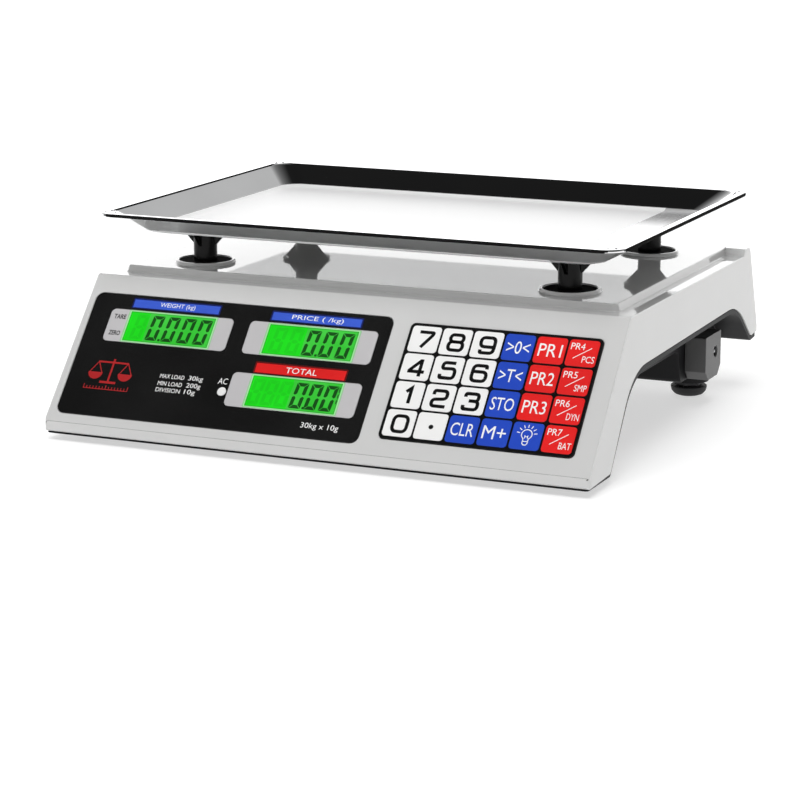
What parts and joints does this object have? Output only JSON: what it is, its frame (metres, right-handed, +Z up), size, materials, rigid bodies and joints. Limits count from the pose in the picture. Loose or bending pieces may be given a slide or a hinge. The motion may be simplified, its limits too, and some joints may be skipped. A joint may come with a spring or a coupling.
{
  "type": "retail price scale",
  "caption": "Counter scale with a steel pan on four posts, a sloped front with displays and keys, and a bridge-shaped base on levelling feet.",
  "frame": {"origin": "on the floor, at the middle of the footprint", "axes": "+Z up, the keys and displays face -Y, +X to the user's right"},
  "size_m": [0.3464, 0.3167, 0.1293],
  "materials": {
    "shell_white": "glossy injection-moulded ABS",
    "base_dark": "fine-textured moulded plastic",
    "window_black": "glossy printed acrylic",
    "lcd": "clear-coated liquid crystal display in a pale grey mask, backlit green",
    "lamp_white": "milky light pipe",
    "circuit_board": "solder mask",
    "rubber_black": "matt moulded rubber",
    "cell_aluminium": "milled",
    "cast_aluminium": "die-cast, lightly blasted",
    "zinc_steel": "zinc plated",
    "dark_steel": "black oxide",
    "battery_grey": "moulded case",
    "inlet_grey": "moulded, semi-matt",
    "post_black": "glossy moulded",
    "key_white": "satin, printed legend",
    "key_blue": "satin, printed legend",
    "key_red": "satin, printed legend",
    "pan_steel": "polished stainless steel"
  },
  "bodies": {
    "base": {"upper_housing": "shell_white", "lower_housing": "base_dark", "front_window": "window_black", "lcd_weight": "lcd", "lcd_unit_price": "lcd", "lcd_total": "lcd", "status_lamp": "lamp_white", "display_board": "circuit_board", "keypad_mat": "rubber_black", "key_board": "circuit_board", "rear_window": "window_black", "rear_lcd": "lcd", "load_cell": "cell_aluminium", "cell_spacer_lower": "zinc_steel", "battery": "battery_grey", "power_board": "circuit_board", "dc_jack": "inlet_grey", "switch_frame": "post_black", "load_cell_cable": "rubber_black"},
    "platform": {"weighing_frame": "cast_aluminium", "cell_spacer_upper": "zinc_steel", "pan_post_front_left": "post_black", "pan_post_front_right": "post_black", "pan_post_rear_left": "post_black", "pan_post_rear_right": "post_black"},
    "pan": {"weighing_pan": "pan_steel"},
    "key_7": {"key_7": "key_white"},
    "key_8": {"key_8": "key_white"},
    "key_9": {"key_9": "key_white"},
    "key_zero": {"key_zero": "key_blue"},
    "key_price_1": {"key_price_1": "key_red"},
    "key_price_4": {"key_price_4": "key_red"},
    "key_4": {"key_4": "key_white"},
    "key_5": {"key_5": "key_white"},
    "key_6": {"key_6": "key_white"},
    "key_tare": {"key_tare": "key_blue"},
    "key_price_2": {"key_price_2": "key_red"},
    "key_price_5": {"key_price_5": "key_red"},
    "key_1": {"key_1": "key_white"},
    "key_2": {"key_2": "key_white"},
    "key_3": {"key_3": "key_white"},
    "key_store": {"key_store": "key_blue"},
    "key_price_3": {"key_price_3": "key_red"},
    "key_price_6": {"key_price_6": "key_red"},
    "key_0": {"key_0": "key_white"},
    "key_point": {"key_point": "key_white"},
    "key_clear": {"key_clear": "key_blue"},
    "key_add": {"key_add": "key_blue"},
    "key_light": {"key_light": "key_blue"},
    "key_price_7": {"key_price_7": "key_red"},
    "battery_door": {"battery_door": "base_dark"},
    "power_rocker": {"power_rocker": "key_red"},
    "foot_pad_front_left": {"foot_pad_front_left": "rubber_black"},
    "foot_screw_front_left": {"foot_screw_front_left": "dark_steel"},
    "foot_pad_front_right": {"foot_pad_front_right": "rubber_black"},
    "foot_screw_front_right": {"foot_screw_front_right": "dark_steel"},
    "foot_pad_rear_left": {"foot_pad_rear_left": "rubber_black"},
    "foot_screw_rear_left": {"foot_screw_rear_left": "dark_steel"},
    "foot_pad_rear_right": {"foot_pad_rear_right": "rubber_black"},
    "foot_screw_rear_right": {"foot_screw_rear_right": "dark_steel"}
  },
  "joints": [
    {"name": "battery_door", "type": "hinge", "parent": "base", "child": "battery_door", "pos_m": [-0.0715, 0.06815, 0.0185], "axis": [-1, 0, 0], "range_deg": [0, 85]},
    {"name": "pan_lift", "type": "slide", "parent": "platform", "child": "pan", "axis": [0, 0, 1], "range_m": [0, 0.06]},
    {"name": "platform_travel", "type": "slide", "parent": "base", "child": "platform", "axis": [0, 0, 1], "range_m": [-0.0005, 0], "stiffness_N_per_m": 30000, "springref_m": 0.0007},
    {"name": "power_rocker", "type": "hinge", "parent": "base", "child": "power_rocker", "pos_m": [0.12, -0.00835, 0.0436], "axis": [0, -1, 0], "range_deg": [0, 16]},
    {"name": "press_key_0", "type": "slide", "parent": "base", "child": "key_0", "axis": [0, 0.7586, -0.6515], "range_m": [0, 0.0008], "stiffness_N_per_m": 500, "springref_m": -0.0004},
    {"name": "press_key_1", "type": "slide", "parent": "base", "child": "key_1", "axis": [0, 0.7586, -0.6515], "range_m": [0, 0.0008], "stiffness_N_per_m": 500, "springref_m": -0.0004},
    {"name": "press_key_2", "type": "slide", "parent": "base", "child": "key_2", "axis": [0, 0.7586, -0.6515], "range_m": [0, 0.0008], "stiffness_N_per_m": 500, "springref_m": -0.0004},
    {"name": "press_key_3", "type": "slide", "parent": "base", "child": "key_3", "axis": [0, 0.7586, -0.6515], "range_m": [0, 0.0008], "stiffness_N_per_m": 500, "springref_m": -0.0004},
    {"name": "press_key_4", "type": "slide", "parent": "base", "child": "key_4", "axis": [0, 0.7586, -0.6515], "range_m": [0, 0.0008], "stiffness_N_per_m": 500, "springref_m": -0.0004},
    {"name": "press_key_5", "type": "slide", "parent": "base", "child": "key_5", "axis": [0, 0.7586, -0.6515], "range_m": [0, 0.0008], "stiffness_N_per_m": 500, "springref_m": -0.0004},
    {"name": "press_key_6", "type": "slide", "parent": "base", "child": "key_6", "axis": [0, 0.7586, -0.6515], "range_m": [0, 0.0008], "stiffness_N_per_m": 500, "springref_m": -0.0004},
    {"name": "press_key_7", "type": "slide", "parent": "base", "child": "key_7", "axis": [0, 0.7586, -0.6515], "range_m": [0, 0.0008], "stiffness_N_per_m": 500, "springref_m": -0.0004},
    {"name": "press_key_8", "type": "slide", "parent": "base", "child": "key_8", "axis": [0, 0.7586, -0.6515], "range_m": [0, 0.0008], "stiffness_N_per_m": 500, "springref_m": -0.0004},
    {"name": "press_key_9", "type": "slide", "parent": "base", "child": "key_9", "axis": [0, 0.7586, -0.6515], "range_m": [0, 0.0008], "stiffness_N_per_m": 500, "springref_m": -0.0004},
    {"name": "press_key_add", "type": "slide", "parent": "base", "child": "key_add", "axis": [0, 0.7586, -0.6515], "range_m": [0, 0.0008], "stiffness_N_per_m": 500, "springref_m": -0.0004},
    {"name": "press_key_clear", "type": "slide", "parent": "base", "child": "key_clear", "axis": [0, 0.7586, -0.6515], "range_m": [0, 0.0008], "stiffness_N_per_m": 500, "springref_m": -0.0004},
    {"name": "press_key_light", "type": "slide", "parent": "base", "child": "key_light", "axis": [0, 0.7586, -0.6515], "range_m": [0, 0.0008], "stiffness_N_per_m": 500, "springref_m": -0.0004},
    {"name": "press_key_point", "type": "slide", "parent": "base", "child": "key_point", "axis": [0, 0.7586, -0.6515], "range_m": [0, 0.0008], "stiffness_N_per_m": 500, "springref_m": -0.0004},
    {"name": "press_key_price_1", "type": "slide", "parent": "base", "child": "key_price_1", "axis": [0, 0.7586, -0.6515], "range_m": [0, 0.0008], "stiffness_N_per_m": 500, "springref_m": -0.0004},
    {"name": "press_key_price_2", "type": "slide", "parent": "base", "child": "key_price_2", "axis": [0, 0.7586, -0.6515], "range_m": [0, 0.0008], "stiffness_N_per_m": 500, "springref_m": -0.0004},
    {"name": "press_key_price_3", "type": "slide", "parent": "base", "child": "key_price_3", "axis": [0, 0.7586, -0.6515], "range_m": [0, 0.0008], "stiffness_N_per_m": 500, "springref_m": -0.0004},
    {"name": "press_key_price_4", "type": "slide", "parent": "base", "child": "key_price_4", "axis": [0, 0.7586, -0.6515], "range_m": [0, 0.0008], "stiffness_N_per_m": 500, "springref_m": -0.0004},
    {"name": "press_key_price_5", "type": "slide", "parent": "base", "child": "key_price_5", "axis": [0, 0.7586, -0.6515], "range_m": [0, 0.0008], "stiffness_N_per_m": 500, "springref_m": -0.0004},
    {"name": "press_key_price_6", "type": "slide", "parent": "base", "child": "key_price_6", "axis": [0, 0.7586, -0.6515], "range_m": [0, 0.0008], "stiffness_N_per_m": 500, "springref_m": -0.0004},
    {"name": "press_key_price_7", "type": "slide", "parent": "base", "child": "key_price_7", "axis": [0, 0.7586, -0.6515], "range_m": [0, 0.0008], "stiffness_N_per_m": 500, "springref_m": -0.0004},
    {"name": "press_key_store", "type": "slide", "parent": "base", "child": "key_store", "axis": [0, 0.7586, -0.6515], "range_m": [0, 0.0008], "stiffness_N_per_m": 500, "springref_m": -0.0004},
    {"name": "press_key_tare", "type": "slide", "parent": "base", "child": "key_tare", "axis": [0, 0.7586, -0.6515], "range_m": [0, 0.0008], "stiffness_N_per_m": 500, "springref_m": -0.0004},
    {"name": "press_key_zero", "type": "slide", "parent": "base", "child": "key_zero", "axis": [0, 0.7586, -0.6515], "range_m": [0, 0.0008], "stiffness_N_per_m": 500, "springref_m": -0.0004},
    {"name": "stand_front_left", "type": "slide", "parent": "base", "child": "foot_pad_front_left", "axis": [0, 0, 1], "range_m": [-0.006, 0]},
    {"name": "thread_front_left", "type": "hinge", "parent": "foot_pad_front_left", "child": "foot_screw_front_left", "pos_m": [-0.141, -0.11635, 0.0079], "axis": [0, 0, 1], "range_deg": [-1729, 0]},
    {"name": "stand_front_right", "type": "slide", "parent": "base", "child": "foot_pad_front_right", "axis": [0, 0, 1], "range_m": [-0.006, 0]},
    {"name": "thread_front_right", "type": "hinge", "parent": "foot_pad_front_right", "child": "foot_screw_front_right", "pos_m": [0.141, -0.11635, 0.0079], "axis": [0, 0, 1], "range_deg": [-1729, 0]},
    {"name": "stand_rear_left", "type": "slide", "parent": "base", "child": "foot_pad_rear_left", "axis": [0, 0, 1], "range_m": [-0.006, 0]},
    {"name": "thread_rear_left", "type": "hinge", "parent": "foot_pad_rear_left", "child": "foot_screw_rear_left", "pos_m": [-0.141, 0.11565, 0.0079], "axis": [0, 0, 1], "range_deg": [-1729, 0]},
    {"name": "stand_rear_right", "type": "slide", "parent": "base", "child": "foot_pad_rear_right", "axis": [0, 0, 1], "range_m": [-0.006, 0]},
    {"name": "thread_rear_right", "type": "hinge", "parent": "foot_pad_rear_right", "child": "foot_screw_rear_right", "pos_m": [0.141, 0.11565, 0.0079], "axis": [0, 0, 1], "range_deg": [-1729, 0]}
  ],
  "couplings": [
    {"joint": "thread_front_left", "follows": "stand_front_left", "rad_per_m": 5026.5},
    {"joint": "thread_front_right", "follows": "stand_front_right", "rad_per_m": 5026.5},
    {"joint": "thread_rear_left", "follows": "stand_rear_left", "rad_per_m": 5026.5},
    {"joint": "thread_rear_right", "follows": "stand_rear_right", "rad_per_m": 5026.5}
  ]
}
